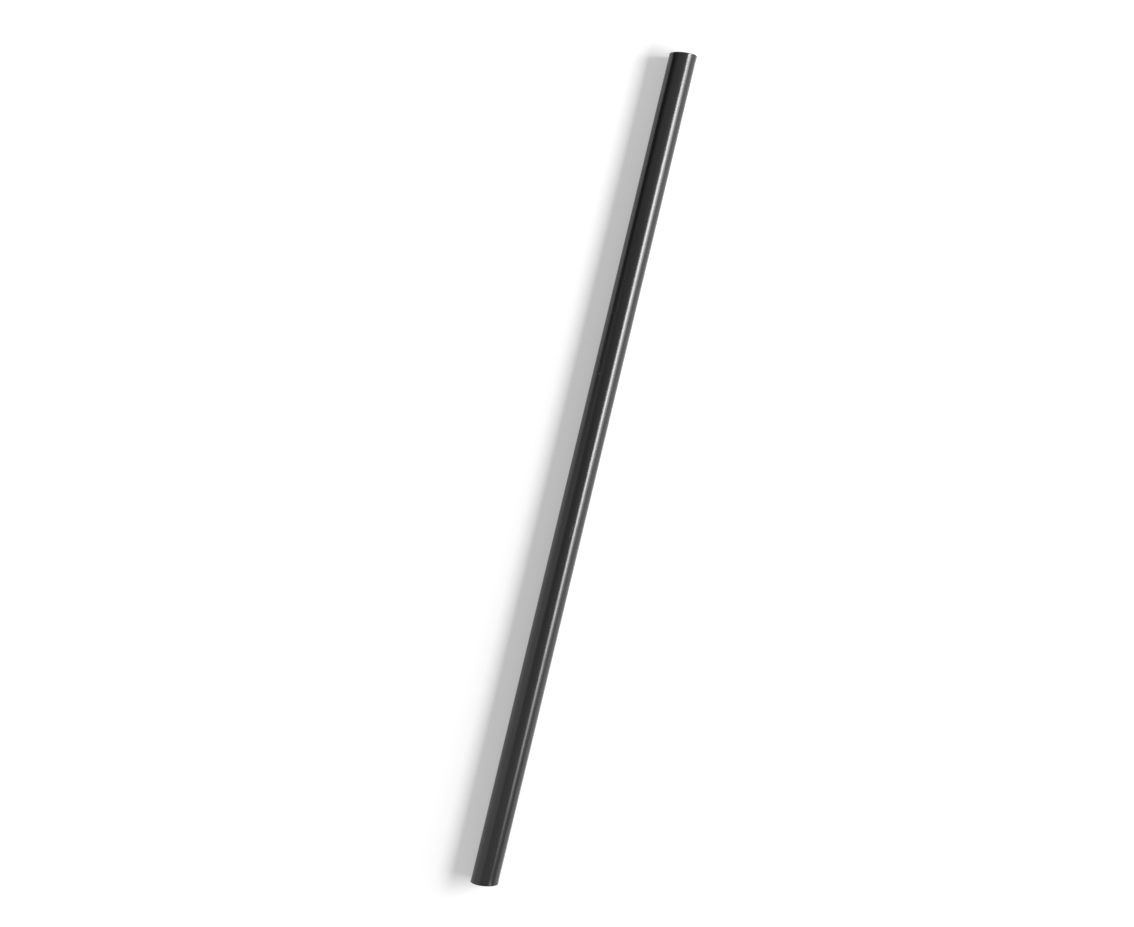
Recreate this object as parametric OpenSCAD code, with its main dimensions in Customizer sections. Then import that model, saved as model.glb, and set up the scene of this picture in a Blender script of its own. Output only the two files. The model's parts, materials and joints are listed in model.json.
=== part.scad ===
// A straight plastic drinking straw: one thin-walled extruded tube, cut square at both ends.
// It lies on the plane Z = 0 with its axis along X, and its middle stands over the origin.
// All sizes are in millimetres and all angles in degrees.

/* [Tube] */
// Length of the straw, from cut to cut
straw_length = 250; // [120:1:300]
// Outside diameter of the straight tube
outer_d = 8; // [4:0.1:14]
// Thickness of the extruded wall
wall = 0.2; // [0.12:0.01:0.5]

/* [Cut ends] */
// Length behind each cut over which the tube opens out
flare_length = 3; // [1:0.1:8]
// How far the outside of the tube stands proud of its straight part at the cut
flare_rise = 0.1; // [0.09:0.01:0.3]
// Radius on the inner and the outer edge of each cut
edge_r = 0.04; // [0.01:0.005:0.055]
// Depth of the small flat under each rim, on which the straw lies without rolling
rest_flat = 0.08; // [0.02:0.01:0.09]

/* [Hidden] */

// Straight steps that stand for the curves when they are drawn as facets
turn_steps = 120;
flare_steps = 10;
edge_steps = 32;

outer_r = outer_d / 2;
inner_r = outer_r - wall;

// Along the straw, from its middle: where a flare begins and where its edges start to round
flare_start = straw_length / 2 - flare_length;
edge_start = straw_length / 2 - edge_r;

// The flaring wall bends about one centre, so that its two faces stay one wall apart
flare_reach = edge_start - flare_start;
bend_r = (flare_reach ^ 2 + flare_rise ^ 2) / (2 * flare_rise);
bend_centre = outer_r + bend_r;
bend_angle = asin(flare_reach / bend_r);
bend_steps = 2 * ceil(180 * flare_steps / bend_angle);

// Radii of the wall's two faces where its edges start to round
lip_outer_r = outer_r + flare_rise;
lip_inner_r = bend_centre - sqrt((bend_r + wall) ^ 2 - flare_reach ^ 2);

// The rims carry the axis at their own radius, less the flat
axis_height = lip_outer_r - rest_flat;

// The wall between the two flares
module straight_section() {
    translate([inner_r, -flare_start])
        square([wall, 2 * flare_start]);
}

// The wall where it opens out, as a short piece of a ring about the centre of the bend
module flare_section() {
    intersection() {
        translate([bend_centre, flare_start])
            difference() {
                circle(r = bend_r + wall, $fn = bend_steps);
                circle(r = bend_r, $fn = bend_steps);
            }
        translate([inner_r, flare_start])
            square([lip_outer_r - inner_r, flare_reach]);
    }
}

// The last of the wall at the cut: a flat land with a rounded edge on each side of it
module lip_section() {
    land = lip_outer_r - lip_inner_r - 2 * edge_r;
    intersection() {
        translate([lip_inner_r + edge_r, edge_start]) {
            square([land, edge_r]);
            circle(r = edge_r, $fn = edge_steps);
            translate([land, 0])
                circle(r = edge_r, $fn = edge_steps);
        }
        translate([lip_inner_r, edge_start])
            square([lip_outer_r - lip_inner_r, edge_r]);
    }
}

// The whole wall on one side of the axis, the same at both ends
module wall_section() {
    straight_section();
    for (far_end = [0, 1])
        mirror([0, far_end]) {
            flare_section();
            lip_section();
        }
}

// All that lies under the plane on which the straw rests
module under_rest_plane() {
    translate([-straw_length, -outer_d, -outer_d])
        cube([2 * straw_length, 2 * outer_d, outer_d]);
}

// The wall turned about the axis, and laid down on the flats of its two rims
module straw() {
    color("#262627")
        difference() {
            translate([0, 0, axis_height])
                rotate([0, 90, 0])
                    rotate_extrude($fn = turn_steps)
                        wall_section();
            under_rest_plane();
        }
}

straw();
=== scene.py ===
import json
import math

import bmesh
import bpy
from bpy.props import FloatProperty, FloatVectorProperty, IntProperty, PointerProperty
from mathutils import Matrix, Vector, noise


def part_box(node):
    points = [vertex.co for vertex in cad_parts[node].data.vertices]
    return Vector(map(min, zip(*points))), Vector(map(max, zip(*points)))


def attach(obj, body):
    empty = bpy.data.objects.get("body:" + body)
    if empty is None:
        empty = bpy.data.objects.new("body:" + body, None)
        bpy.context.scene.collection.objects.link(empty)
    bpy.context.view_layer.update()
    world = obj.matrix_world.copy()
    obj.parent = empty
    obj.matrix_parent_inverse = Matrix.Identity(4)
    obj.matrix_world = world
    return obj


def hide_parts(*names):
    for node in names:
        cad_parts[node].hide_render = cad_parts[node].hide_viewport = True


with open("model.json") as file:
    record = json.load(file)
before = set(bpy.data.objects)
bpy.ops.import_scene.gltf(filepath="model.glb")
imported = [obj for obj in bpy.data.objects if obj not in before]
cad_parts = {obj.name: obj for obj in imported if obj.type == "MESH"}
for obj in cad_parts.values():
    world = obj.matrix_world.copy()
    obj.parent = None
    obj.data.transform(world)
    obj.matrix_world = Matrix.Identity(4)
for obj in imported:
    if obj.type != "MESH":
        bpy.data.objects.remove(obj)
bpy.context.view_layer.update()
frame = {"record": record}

bl_info = {
    "name": "Drinking straw",
    "version": (1, 0, 0),
    "blender": (4, 5, 0),
    "location": "3D View > Sidebar > Straw",
    "description": "Makes a straight drinking straw of satin black plastic and a white studio round it",
    "category": "Object",
}

# The frame gives the tube's sizes. X runs along the straw, to the end that is the upper one in the picture,
# and Z up. All lengths are in metres.
MM = 0.001
NODE = "straw"
BODY = "root"
MOUNTS = {mount["name"]: mount for mount in frame["record"]["mounts"]}
LOW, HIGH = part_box(NODE)
LENGTH = HIGH.x - LOW.x
RIM_RADIUS = (HIGH.y - LOW.y) / 2
OUTER_RADIUS = MOUNTS["outside"]["dims"]["r_mm"] * MM
BORE_RADIUS = MOUNTS["bore"]["dims"]["r_mm"] * MM
AXIS_HEIGHT = MOUNTS["outside"]["pos_m"][2]

# A fibre of dust that lies across the straw, a little left of its top: its centre and its half lengths
FIBRE_PLACE = (28 * MM, 2.1 * MM, 7.4 * MM)
FIBRE_HALF = (0.09 * MM, 0.32 * MM, 0.32 * MM)

# The picture's frame in pixels, and where the middles of the two cuts would lie in it if they were square
PICTURE = (1134, 927)
UPPER_END = (684.6, 50.1)
LOWER_END = (483.1, 888)


class StrawShape(bpy.types.PropertyGroup):
    """Sizes of the tube, of its two cut ends and of the small faults of extruding and cutting it."""

    wall: FloatProperty(
        name="Wall", description="Thickness of the extruded wall",
        default=OUTER_RADIUS - BORE_RADIUS, min=0.05 * MM, unit="LENGTH", precision=6)
    flare_length: FloatProperty(
        name="Flare length", description="Length behind each cut over which the tube opens out",
        default=3 * MM, min=0.5 * MM, unit="LENGTH", precision=5)
    rim_slack: FloatProperty(
        name="Rim slack", description="How far the visible rims stay inside the solid's, as room for faults",
        default=0.02 * MM, min=0, unit="LENGTH", precision=6)
    edge_radius: FloatProperty(
        name="Edge radius", description="Rounding on both edges of each cut",
        default=0.04 * MM, min=0.005 * MM, unit="LENGTH", precision=6)
    oval: FloatProperty(
        name="Oval", description="How far the tube is out of round, more at its ends than in the middle",
        default=0.012 * MM, min=0, unit="LENGTH", precision=6)
    off_centre: FloatProperty(
        name="Bore off centre", description="How far the bore runs beside the tube's own axis",
        default=0.012 * MM, min=0, unit="LENGTH", precision=6)
    ripple: FloatProperty(
        name="Ripple", description="Depth of the broad lengthwise ripples that the die leaves",
        default=0.006 * MM, min=0, unit="LENGTH", precision=6)
    draw_line: FloatProperty(
        name="Draw lines", description="Depth of the fine lengthwise draw lines",
        default=0.0009 * MM, min=0, unit="LENGTH", precision=7)
    upper_slant: FloatProperty(
        name="Upper cut's slant", description="How far the upper cut falls back from one side to the other",
        default=1.0 * MM, min=0, unit="LENGTH", precision=6)
    lower_slant: FloatProperty(
        name="Lower cut's slant", description="How far the lower cut falls back from one side to the other",
        default=1.1 * MM, min=0, unit="LENGTH", precision=6)
    cut_grain: FloatProperty(
        name="Cut grain", description="Unevenness that the knife leaves along each cut",
        default=0.012 * MM, min=0, unit="LENGTH", precision=6)
    burr: FloatProperty(
        name="Burr", description="Height of the burr that the knife leaves on each rim",
        default=0.05 * MM, min=0, unit="LENGTH", precision=6)
    sides: IntProperty(name="Sides", description="Faces round the tube", default=216, min=24)
    body_rings: IntProperty(
        name="Body rings", description="Faces along the straight tube, outside", default=132, min=4)
    bore_rings: IntProperty(
        name="Bore rings", description="Faces along the straight tube, inside", default=66, min=4)


class StrawFinish(bpy.types.PropertyGroup):
    """Colour and gloss of the plastic."""

    colour: FloatVectorProperty(
        name="Colour", description="The plastic between its draw lines",
        default=(0.0165, 0.0165, 0.0172), subtype="COLOR", min=0, max=1)
    line_colour: FloatVectorProperty(
        name="Line colour", description="The plastic along its palest draw lines",
        default=(0.025, 0.025, 0.0258), subtype="COLOR", min=0, max=1)
    cut_colour: FloatVectorProperty(
        name="Cut colour", description="The plastic where the knife has stressed it",
        default=(0.042, 0.042, 0.043), subtype="COLOR", min=0, max=1)
    dust_colour: FloatVectorProperty(
        name="Dust colour", description="Specks of dust on the plastic",
        default=(0.16, 0.16, 0.16), subtype="COLOR", min=0, max=1)
    roughness: FloatProperty(
        name="Roughness", description="Mean roughness of the drawn surface", default=0.2, min=0, max=1)
    cut_roughness: FloatProperty(
        name="Cut roughness", description="Roughness of the cut edge", default=0.46, min=0, max=1)


class StrawStudio(bpy.types.PropertyGroup):
    """Floor, light and camera."""

    floor_colour: FloatVectorProperty(
        name="Floor colour", description="Colour of the floor",
        default=(0.65, 0.65, 0.65), subtype="COLOR", min=0, max=1)
    floor_lift: FloatProperty(
        name="Floor lift", description="Strength added to the floor by the straw so that it shows white",
        default=0.37, min=0, max=1)
    far_lift: FloatProperty(
        name="Far lift", description="Strength added to the floor where the lamps no longer reach it",
        default=0.9, min=0, max=1)
    key_brightness: FloatProperty(
        name="Key brightness", description="Brightness of the long strip lamp", default=21.5, min=0)
    key_width: FloatProperty(
        name="Key width", description="Width of the long strip lamp", default=0.155, min=0.01, unit="LENGTH")
    side_brightness: FloatProperty(
        name="Side brightness", description="Brightness of the broad lamp beside it", default=12.5, min=0)
    side_width: FloatProperty(
        name="Side width", description="Width of the broad lamp beside it",
        default=0.4, min=0.01, unit="LENGTH")
    camera_distance: FloatProperty(
        name="Camera distance", description="Distance from the camera to the straw's axis",
        default=0.5, min=0.1, unit="LENGTH")


class Output:
    """A node's output. Arithmetic on one that carries a number adds Math nodes to its shader."""

    def __init__(self, shader, socket):
        self.shader = shader
        self.socket = socket

    def maths(self, operation, *operands):
        return self.shader.node("ShaderNodeMath", {"operation": operation}, dict(enumerate(operands)))

    def __add__(self, other):
        return self.maths("ADD", self, other)

    __radd__ = __add__

    def __sub__(self, other):
        return self.maths("SUBTRACT", self, other)

    def __rsub__(self, other):
        return self.maths("SUBTRACT", other, self)

    def __mul__(self, other):
        return self.maths("MULTIPLY", self, other)

    __rmul__ = __mul__

    def __gt__(self, other):
        return self.maths("GREATER_THAN", self, other)

    def __lt__(self, other):
        return self.maths("LESS_THAN", self, other)

    def __abs__(self):
        return self.maths("ABSOLUTE", self)


class Shader:
    """The node tree of a material, a lamp or a world, emptied, with one method that adds any node to it."""

    def __init__(self, owner):
        owner.use_nodes = True
        self.tree = owner.node_tree
        self.tree.nodes.clear()

    def node(self, kind, settings=None, sockets=None, output=0):
        """Adds a node, sets its settings and then its sockets, and returns the output asked for."""
        made = self.tree.nodes.new(kind)
        for name, value in (settings or {}).items():
            setattr(made, name, value)
        for name, value in (sockets or {}).items():
            if isinstance(value, Output):
                self.tree.links.new(value.socket, made.inputs[name])
            else:
                made.inputs[name].default_value = value
        return Output(self, made.outputs[output]) if made.outputs else None

    def noise(self, place, detail=2.0, roughness=0.5):
        """Noise from 0 to 1, with a mean of one half."""
        return self.node(
            "ShaderNodeTexNoise", {},
            {"Vector": place, "Scale": 1.0, "Detail": detail, "Roughness": roughness})

    def stretched(self, place, along, across):
        """Coordinates times one number along the straw, and times another in both directions across it."""
        return self.node(
            "ShaderNodeVectorMath", {"operation": "MULTIPLY"}, {0: place, 1: (along, across, across)})

    def turned(self, place, degrees):
        """Coordinates turned about the vertical."""
        return self.node(
            "ShaderNodeVectorRotate", {"rotation_type": "Z_AXIS"},
            {"Vector": place, "Angle": math.radians(degrees)})

    def scattered(self, place, reach, rarity):
        """1 within that reach of a few scattered points, of which the share given as rarity is left out."""
        sockets = {"Vector": place, "Scale": 1.0}
        distance = self.node("ShaderNodeTexVoronoi", {}, sockets)
        colour = self.node("ShaderNodeTexVoronoi", {}, sockets, output="Color")
        draw = self.node("ShaderNodeSeparateColor", {}, {0: colour})
        return (distance < reach) * (draw > rarity)

    def ellipsoid(self, place, centre, half):
        """1 inside an ellipsoid with that centre and those half lengths."""
        offset = self.node("ShaderNodeVectorMath", {"operation": "SUBTRACT"}, {0: place, 1: centre})
        scaled = self.node("ShaderNodeVectorMath", {"operation": "DIVIDE"}, {0: offset, 1: half})
        return self.node("ShaderNodeVectorMath", {"operation": "LENGTH"}, {0: scaled}, output="Value") < 1

    def step(self, value, start, end):
        """A smooth step from 0 at start to 1 at end."""
        return self.node(
            "ShaderNodeMapRange", {"interpolation_type": "SMOOTHSTEP"},
            {"Value": value, "From Min": start, "From Max": end})

    def mix(self, share, first, second):
        """A mix of two colours."""
        return self.node(
            "ShaderNodeMix", {"data_type": "RGBA"},
            {"Factor": share, 6: solid(first), 7: solid(second)}, output=2)


def solid(colour):
    """The colour with full alpha, or the output as it is."""
    return colour if isinstance(colour, Output) else (*colour, 1.0)


# What each marking adds to the plastic's roughness, and what the first three, which are noise, add on average
ROUGHENING = {"mottle": 0.08, "lines": 0.06, "bands": 0.03, "scratches": 0.2, "dust": 0.4}
MEAN_ROUGHENING = (ROUGHENING["mottle"] + ROUGHENING["lines"] + ROUGHENING["bands"]) / 2

# How far each marking stands out of the plastic, as a share of the highest, and how high that one is
HEIGHTS = {"lines": 0.3, "mottle": 0.1, "scratches": -0.5, "dust": 1}
HIGHEST = 0.003 * MM

# How the pale streaks follow the markings, and where on the sum they start and are full
STREAKS = {"lines": 0.6, "bands": 0.4}
STREAK_START, STREAK_FULL = 0.42, 0.72

# How far from each end the cut's duller plastic starts and is full
CUT_START, CUT_FULL = 0.16 * MM, 0.06 * MM
REFRACTION = 1.49


def weighted(markings, shares):
    """The sum of the markings that shares names, each times its share."""
    return sum(share * markings[name] for name, share in shares.items())


def plastic(finish):
    """Satin black polypropylene with draw lines, broad bands, mottle, scratches, dust and duller cuts."""
    material = bpy.data.materials.new("satin_black_plastic")
    shader = Shader(material)
    place = shader.node("ShaderNodeTexCoord", output="Object")
    along = shader.node("ShaderNodeSeparateXYZ", {}, {0: place}, output="X")

    # Hairline scratches run nearly along the straw, and dust lies on it here and there
    long_scratches = shader.stretched(shader.turned(place, degrees=4), along=55, across=950)
    short_scratches = shader.stretched(shader.turned(place, degrees=-9), along=90, across=1300)
    specks = shader.scattered(shader.stretched(place, along=520, across=520), reach=0.05, rarity=0.955)
    fibre = shader.ellipsoid(place, FIBRE_PLACE, FIBRE_HALF)
    markings = {
        "bands": shader.noise(shader.stretched(place, along=9, across=620), detail=1.0),
        "lines": shader.noise(shader.stretched(place, along=14, across=3400), detail=3.0, roughness=0.6),
        "mottle": shader.noise(shader.stretched(place, along=1500, across=2300), detail=2.0, roughness=0.6),
        "scratches": (
            shader.scattered(long_scratches, reach=0.13, rarity=0.9)
            + shader.scattered(short_scratches, reach=0.11, rarity=0.94)),
        "dust": shader.node("ShaderNodeMath", {"operation": "MAXIMUM"}, {0: specks, 1: fibre}),
    }
    cut = shader.step(abs(along), start=LENGTH / 2 - CUT_START, end=LENGTH / 2 - CUT_FULL)

    pale = shader.step(weighted(markings, STREAKS), STREAK_START, STREAK_FULL)
    colour = shader.mix(pale, finish.colour, finish.line_colour)
    colour = shader.mix(cut, colour, finish.cut_colour)
    colour = shader.mix(markings["dust"], colour, finish.dust_colour)

    drawn = finish.roughness - MEAN_ROUGHENING + weighted(markings, ROUGHENING)
    rough = drawn + (finish.cut_roughness - finish.roughness) * cut
    height = weighted(markings, HEIGHTS)
    normal = shader.node("ShaderNodeBump", {}, {"Strength": 1.0, "Distance": HIGHEST, "Height": height})
    surface = shader.node(
        "ShaderNodeBsdfPrincipled", {},
        {"Base Color": colour, "Roughness": rough, "Normal": normal, "IOR": REFRACTION})
    shader.node("ShaderNodeOutputMaterial", {}, {"Surface": surface})
    return material


def spaced(start, end, steps):
    """Evenly spaced numbers from start to end, both included."""
    return [start + (end - start) * i / steps for i in range(steps + 1)]


class Wall:
    """The wall's section on one side of the axis, as points (along the straw, radius) in a closed loop."""

    FLARE_STEPS = 12
    EDGE_STEPS = 5
    LAND_STEPS = 3

    def __init__(self, shape):
        self.shape = shape
        self.rise = RIM_RADIUS - shape.rim_slack - OUTER_RADIUS
        self.edge_start = LENGTH / 2 - shape.edge_radius
        self.flare_start = LENGTH / 2 - shape.flare_length
        self.reach = self.edge_start - self.flare_start
        self.bend = (self.reach**2 + self.rise**2) / (2 * self.rise)

    def face_radius(self, along, depth):
        """Radius of the face that lies so deep under the outside. The flare bends about one centre."""
        past = max(0.0, abs(along) - self.flare_start)
        return OUTER_RADIUS + self.bend - math.sqrt((self.bend + depth) ** 2 - past**2)

    def face(self, depth, rings):
        """The points of one face from the lower cut's edge to the upper cut's."""
        flare = spaced(self.flare_start, self.edge_start, self.FLARE_STEPS)[1:]
        stops = [-x for x in reversed(flare)] + spaced(-self.flare_start, self.flare_start, rings) + flare
        return [(x, self.face_radius(x, depth)) for x in stops]

    def lip(self):
        """The points round the upper cut, between the ends of the outer face and the inner one."""
        edge = self.shape.edge_radius
        outer = self.face_radius(self.edge_start, 0) - edge
        inner = self.face_radius(self.edge_start, self.shape.wall) + edge
        turns = [math.pi / 2 * i / self.EDGE_STEPS for i in range(1, self.EDGE_STEPS + 1)]
        out = [(self.edge_start + edge * math.sin(a), outer + edge * math.cos(a)) for a in turns]
        land = [(LENGTH / 2, radius) for radius in spaced(outer, inner, self.LAND_STEPS)[1:-1]]
        back = [(self.edge_start + edge * math.sin(a), inner - edge * math.cos(a)) for a in reversed(turns)]
        return out + land + back

    def loop(self):
        """The outer face, the upper cut, the inner face and the lower cut."""
        outside = self.face(0, self.shape.body_rings)
        inside = list(reversed(self.face(self.shape.wall, self.shape.bore_rings)))
        upper = self.lip()
        lower = [(-x, radius) for x, radius in reversed(upper)]
        return outside + upper + inside + lower


# The two ends, by the side of the straw's middle on which they lie
UPPER_SIDE, LOWER_SIDE = 1, -1


class Faults:
    """What extruding and cutting leave on the tube, as small shifts of the section's points."""

    BAND_WIDTH = 2.4 * MM
    BAND_LENGTH = 34 * MM
    LINE_WIDTH = 0.5 * MM
    LINE_LENGTH = 70 * MM
    GRAIN_WIDTH = 0.22 * MM
    OVAL_TURN = math.radians(35)
    BODY_OVAL = 0.6
    END_OVAL = 1.6
    END_REACH = 7 * MM
    CUT_REACH = 0.9 * MM
    SLANT_TURN = {UPPER_SIDE: math.radians(-95), LOWER_SIDE: math.radians(80)}
    BURR_TURN = {UPPER_SIDE: math.radians(-50), LOWER_SIDE: math.radians(18)}
    BURR_HALF = {UPPER_SIDE: math.radians(6), LOWER_SIDE: math.radians(3.5)}
    BURR_LIFT = 0.7
    GRAIN_APART = 3.0

    def __init__(self, shape):
        self.shape = shape

    @staticmethod
    def noise_round(place, turn, width):
        """Noise from -1 to 1 that changes over about that width round the tube, and meets itself there."""
        across, up = math.cos(turn) * OUTER_RADIUS, math.sin(turn) * OUTER_RADIUS
        return noise.noise(Vector((place, across / width, up / width)))

    def radial(self, along, turn, depth):
        """How far a point at that turn round the axis stands out from the true circle."""
        shape = self.shape
        band = self.noise_round(along / self.BAND_LENGTH, turn, self.BAND_WIDTH)
        line = self.noise_round(along / self.LINE_LENGTH, turn, self.LINE_WIDTH)
        from_end = LENGTH / 2 - abs(along)
        near_end = math.exp(-from_end / self.END_REACH)
        out_of_round = shape.oval * (self.BODY_OVAL + self.END_OVAL * near_end)
        oval = out_of_round * math.cos(2 * (turn - self.OVAL_TURN)) - shape.oval * self.END_OVAL * near_end
        inside = shape.off_centre * math.cos(turn) * depth / shape.wall
        return shape.ripple * band + shape.draw_line * line + oval + inside

    @staticmethod
    def nearness(from_end, reach):
        """A smooth step from 0 at that reach to 1 at the end."""
        near = max(0.0, 1 - from_end / reach)
        return near * near * (3 - 2 * near)

    def at_cut(self, along, turn):
        """How far the cut moves a point towards the middle, and how far the burr lifts it off the axis."""
        shape = self.shape
        end = UPPER_SIDE if along > 0 else LOWER_SIDE
        from_end = LENGTH / 2 - abs(along)
        slant = {UPPER_SIDE: shape.upper_slant, LOWER_SIDE: shape.lower_slant}[end]
        slant *= self.nearness(from_end, self.END_REACH) * (1 - math.cos(turn - self.SLANT_TURN[end])) / 2
        near = self.nearness(from_end, self.CUT_REACH)
        if near == 0:
            return slant, 0.0
        grain = (self.noise_round(end * self.GRAIN_APART, turn, self.GRAIN_WIDTH) + 1) / 2
        off = math.remainder(turn - self.BURR_TURN[end], 2 * math.pi) / self.BURR_HALF[end]
        burr = math.exp(-off * off) * near**3
        back = slant + (shape.burr + shape.cut_grain * grain) * near
        return back - shape.burr * burr, self.BURR_LIFT * shape.burr * burr


def tube_mesh(shape):
    """Turns the wall's section round the axis, with its faults, and lays it on the floor."""
    wall, faults = Wall(shape), Faults(shape)
    section = wall.loop()
    turns = [2 * math.pi * k / shape.sides for k in range(shape.sides)]
    made = bmesh.new()
    rings = []
    for along, radius in section:
        depth = wall.face_radius(along, 0) - radius
        ring = []
        for turn in turns:
            back, lift = faults.at_cut(along, turn)
            x = math.copysign(abs(along) - back, along)
            rho = radius + lift + faults.radial(along, turn, depth)
            z = max(0.0, AXIS_HEIGHT + rho * math.cos(turn))
            ring.append(made.verts.new((x, rho * math.sin(turn), z)))
        rings.append(ring)
    for ring, following in zip(rings, rings[1:] + rings[:1]):
        for k in range(shape.sides):
            after = (k + 1) % shape.sides
            face = made.faces.new((ring[k], following[k], following[after], ring[after]))
            face.smooth = True
    bmesh.ops.recalc_face_normals(made, faces=made.faces)
    mesh = bpy.data.meshes.new("straw_tube")
    made.to_mesh(mesh)
    made.free()
    return mesh


def link(name, data):
    """A new object in the scene."""
    thing = bpy.data.objects.new(name, data)
    bpy.context.scene.collection.objects.link(thing)
    return thing


def backdrop_rays(shader):
    """1 for the camera's own rays, and 1 for those that show the background by way of gloss or glass."""
    rays = ("Is Camera Ray", "Is Glossy Ray", "Is Transmission Ray")
    camera, glossy, through = (shader.node("ShaderNodeLightPath", output=ray) for ray in rays)
    return camera, glossy + through


WHITE = (1, 1, 1, 1)

# How far from the straw's middle, across it, the floor starts to take the far lift and has all of it.
# Along the straw both are longer, as the lamps reach further there.
FAR_START, FAR_FULL = 0.012, 0.2
FAR_SHRINK_ALONG = 0.3


def floor_material(studio):
    """A pale floor that shows white and keeps the straw's shadow."""
    material = bpy.data.materials.new("white_floor")
    shader = Shader(material)
    camera, mirrored = backdrop_rays(shader)
    matt = shader.node("ShaderNodeBsdfDiffuse", {}, {"Color": solid(studio.floor_colour)})
    place = shader.node("ShaderNodeTexCoord", output="Object")
    shrunk = shader.stretched(place, along=FAR_SHRINK_ALONG, across=1)
    distance = shader.node("ShaderNodeVectorMath", {"operation": "LENGTH"}, {0: shrunk}, output="Value")
    far = shader.step(distance, FAR_START, FAR_FULL)
    strength = (studio.floor_lift + (studio.far_lift - studio.floor_lift) * far) * (camera + mirrored)
    lift = shader.node("ShaderNodeEmission", {}, {"Color": WHITE, "Strength": strength})
    both = shader.node("ShaderNodeAddShader", {}, {0: matt, 1: lift})
    shader.node("ShaderNodeOutputMaterial", {}, {"Surface": both})
    return material


FLOOR_HALF = 2.5
FLOOR_DROP = 0.02 * MM


def make_floor(studio):
    """The floor that the straw lies on, a hair under it so that the two never share a plane."""
    made = bmesh.new()
    signs = ((-1, -1), (1, -1), (1, 1), (-1, 1))
    made.faces.new([made.verts.new((x * FLOOR_HALF, y * FLOOR_HALF, -FLOOR_DROP)) for x, y in signs])
    mesh = bpy.data.meshes.new("floor")
    made.to_mesh(mesh)
    made.free()
    mesh.materials.append(floor_material(studio))
    link("floor", mesh)


# Brightness of the room that the plastic mirrors, where white is 1, and of its light on matt things
WALL, LIT_WALL = 0.3, 1.15
CEILING, LOWER_CEILING, UPPER_CEILING = 0.17, 0.57, 0.42
FILL = 0.25


def make_world():
    """White behind the straw, and mirrored in it a dim room, whose wall on the picture's left is lit by the
    lower end and dark by the upper one."""
    world = bpy.data.worlds.new("studio")
    bpy.context.scene.world = world
    shader = Shader(world)
    camera, mirrored = backdrop_rays(shader)
    direction = shader.node("ShaderNodeTexCoord", output="Generated")
    along, across, height = (
        shader.node("ShaderNodeSeparateXYZ", {}, {0: direction}, output=axis) for axis in "XYZ")
    lit = shader.step(across, start=0.3, end=0.65) * shader.step(along, start=0.2, end=-0.1)
    dark = shader.step(across, start=0.6, end=0.9) * shader.step(along, start=-0.05, end=0.12)
    walls = (WALL + (LIT_WALL - WALL) * lit) * (1 - dark)
    lower = shader.step(along, start=-0.05, end=-0.22)
    upper = shader.step(along, start=0.08, end=0.22)
    ceiling = CEILING + (LOWER_CEILING - CEILING) * lower + (UPPER_CEILING - CEILING) * upper
    room = walls + shader.step(height, start=0.65, end=0.95) * (ceiling - walls)
    strength = camera + mirrored * room + (1 - camera - mirrored) * FILL
    sky = shader.node("ShaderNodeBackground", {}, {"Color": WHITE, "Strength": strength})
    shader.node("ShaderNodeOutputWorld", {}, {"Surface": sky})


def area_lamp(name, brightness, width, ends, fade):
    """A rectangular lamp of that brightness between two ends, which faces the straw. Fade gives, for X across
    it or Y along it, the share of that size at which it is still dark and the share at which it is full."""
    start, end = ends
    place = (start + end) / 2
    long_side = (end - start).normalized()
    side = long_side.cross(place).normalized()
    turn = Matrix((side, long_side, side.cross(long_side))).transposed().to_4x4()
    light = bpy.data.lights.new(name, "AREA")
    light.shape = "RECTANGLE"
    light.size, light.size_y = width, (end - start).length
    light.energy = brightness * light.size * light.size_y * math.pi
    shader = Shader(light)
    spot = shader.node("ShaderNodeNewGeometry", output="Parametric")
    strength = 1
    for axis, (dark, full) in fade.items():
        share = shader.node("ShaderNodeSeparateXYZ", {}, {0: spot}, output=axis)
        strength = shader.step(share, dark, full) * strength
    glow = shader.node("ShaderNodeEmission", {}, {"Color": WHITE, "Strength": strength})
    shader.node("ShaderNodeOutputLight", {}, {"Surface": glow})
    link(name, light).matrix_world = Matrix.Translation(place) @ turn


def round_axis(along, distance, degrees):
    """A place round the straw's axis, so many degrees from straight above it towards the picture's right."""
    turn = math.radians(degrees)
    return Vector((along, -distance * math.sin(turn), AXIS_HEIGHT + distance * math.cos(turn)))


def make_lamps(studio):
    """A strip lamp for the bright line and a broad lamp low beside it, both dark at the straw's lower end."""
    strip_ends = (
        round_axis(along=-0.31, distance=0.6, degrees=50),
        round_axis(along=0.295, distance=0.6, degrees=51))
    area_lamp("key_strip", studio.key_brightness, studio.key_width, strip_ends, fade={"Y": (0.02, 0.595)})
    panel_ends = (
        round_axis(along=-0.3, distance=0.7, degrees=72),
        round_axis(along=0.33, distance=0.7, degrees=72))
    area_lamp(
        "side_panel", studio.side_brightness, studio.side_width, panel_ends,
        fade={"X": (1, 0), "Y": (0, 1)})


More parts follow.
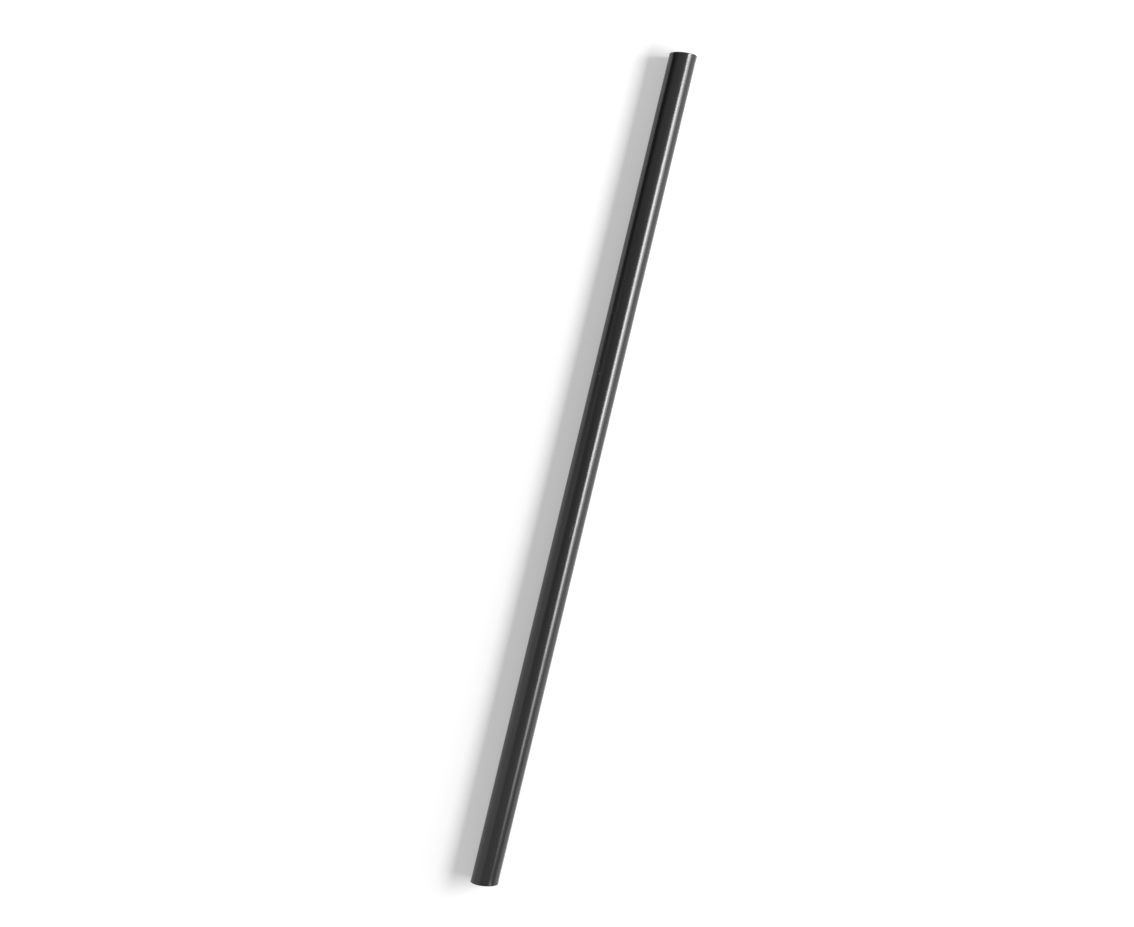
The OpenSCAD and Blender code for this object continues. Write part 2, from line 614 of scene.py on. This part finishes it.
def make_camera(studio):
    """The camera looks straight down, and the tops of both rims lie where the picture has them."""
    across = UPPER_END[0] - LOWER_END[0]
    upward = LOWER_END[1] - UPPER_END[1]
    pixels = math.hypot(across, upward)
    per_metre = pixels / LENGTH
    right = Vector((across / pixels, -upward / pixels, 0))
    up = Vector((upward / pixels, across / pixels, 0))
    middle = [(a + b) / 2 for a, b in zip(UPPER_END, LOWER_END)]
    shift_right = (PICTURE[0] / 2 - middle[0]) / per_metre
    shift_up = (middle[1] - PICTURE[1] / 2) / per_metre
    camera = bpy.data.cameras.new("camera")
    camera.sensor_width = 36
    height = AXIS_HEIGHT + studio.camera_distance
    camera.lens = camera.sensor_width * per_metre * (height - HIGH.z) / PICTURE[0]
    seer = link("camera", camera)
    place = right * shift_right + up * shift_up + Vector((0, 0, height))
    turn = Matrix((right, up, Vector((0, 0, 1)))).transposed().to_4x4()
    seer.matrix_world = Matrix.Translation(place) @ turn
    bpy.context.scene.camera = seer


class STRAW_OT_set_stage(bpy.types.Operator):
    """Set up the camera, the white floor, the lamps and the world"""

    bl_idname = "straw.set_stage"
    bl_label = "Set the stage"

    def execute(self, context):
        studio = context.scene.straw_studio
        context.scene.view_settings.view_transform = "Standard"
        make_camera(studio)
        make_floor(studio)
        make_world()
        make_lamps(studio)
        return {"FINISHED"}


class STRAW_OT_lay_straw(bpy.types.Operator):
    """Make the straw in fine detail, lying where the plain solid lies"""

    bl_idname = "straw.lay_straw"
    bl_label = "Lay the straw"

    def execute(self, context):
        mesh = tube_mesh(context.scene.straw_shape)
        mesh.materials.append(plastic(context.scene.straw_finish))
        straw = link("straw_tube", mesh)
        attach(straw, BODY)
        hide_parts(NODE)
        return {"FINISHED"}


OPERATORS = (STRAW_OT_set_stage, STRAW_OT_lay_straw)
SETTINGS = {"straw_shape": StrawShape, "straw_finish": StrawFinish, "straw_studio": StrawStudio}


class STRAW_PT_tools(bpy.types.Panel):
    """The straw's operators and settings"""

    bl_idname = "STRAW_PT_tools"
    bl_label = "Drinking straw"
    bl_space_type = "VIEW_3D"
    bl_region_type = "UI"
    bl_category = "Straw"

    def draw(self, context):
        for operator in OPERATORS:
            self.layout.operator(operator.bl_idname)
        for name, group in SETTINGS.items():
            box = self.layout.box()
            for setting in group.__annotations__:
                box.prop(getattr(context.scene, name), setting)


CLASSES = (*SETTINGS.values(), *OPERATORS, STRAW_PT_tools)


def register():
    for made in CLASSES:
        bpy.utils.register_class(made)
    for name, group in SETTINGS.items():
        setattr(bpy.types.Scene, name, PointerProperty(type=group))


def unregister():
    for name in SETTINGS:
        delattr(bpy.types.Scene, name)
    for made in reversed(CLASSES):
        bpy.utils.unregister_class(made)


def main():
    register()
    bpy.ops.straw.set_stage()
    bpy.ops.straw.lay_straw()


if __name__ == "__main__":
    main()
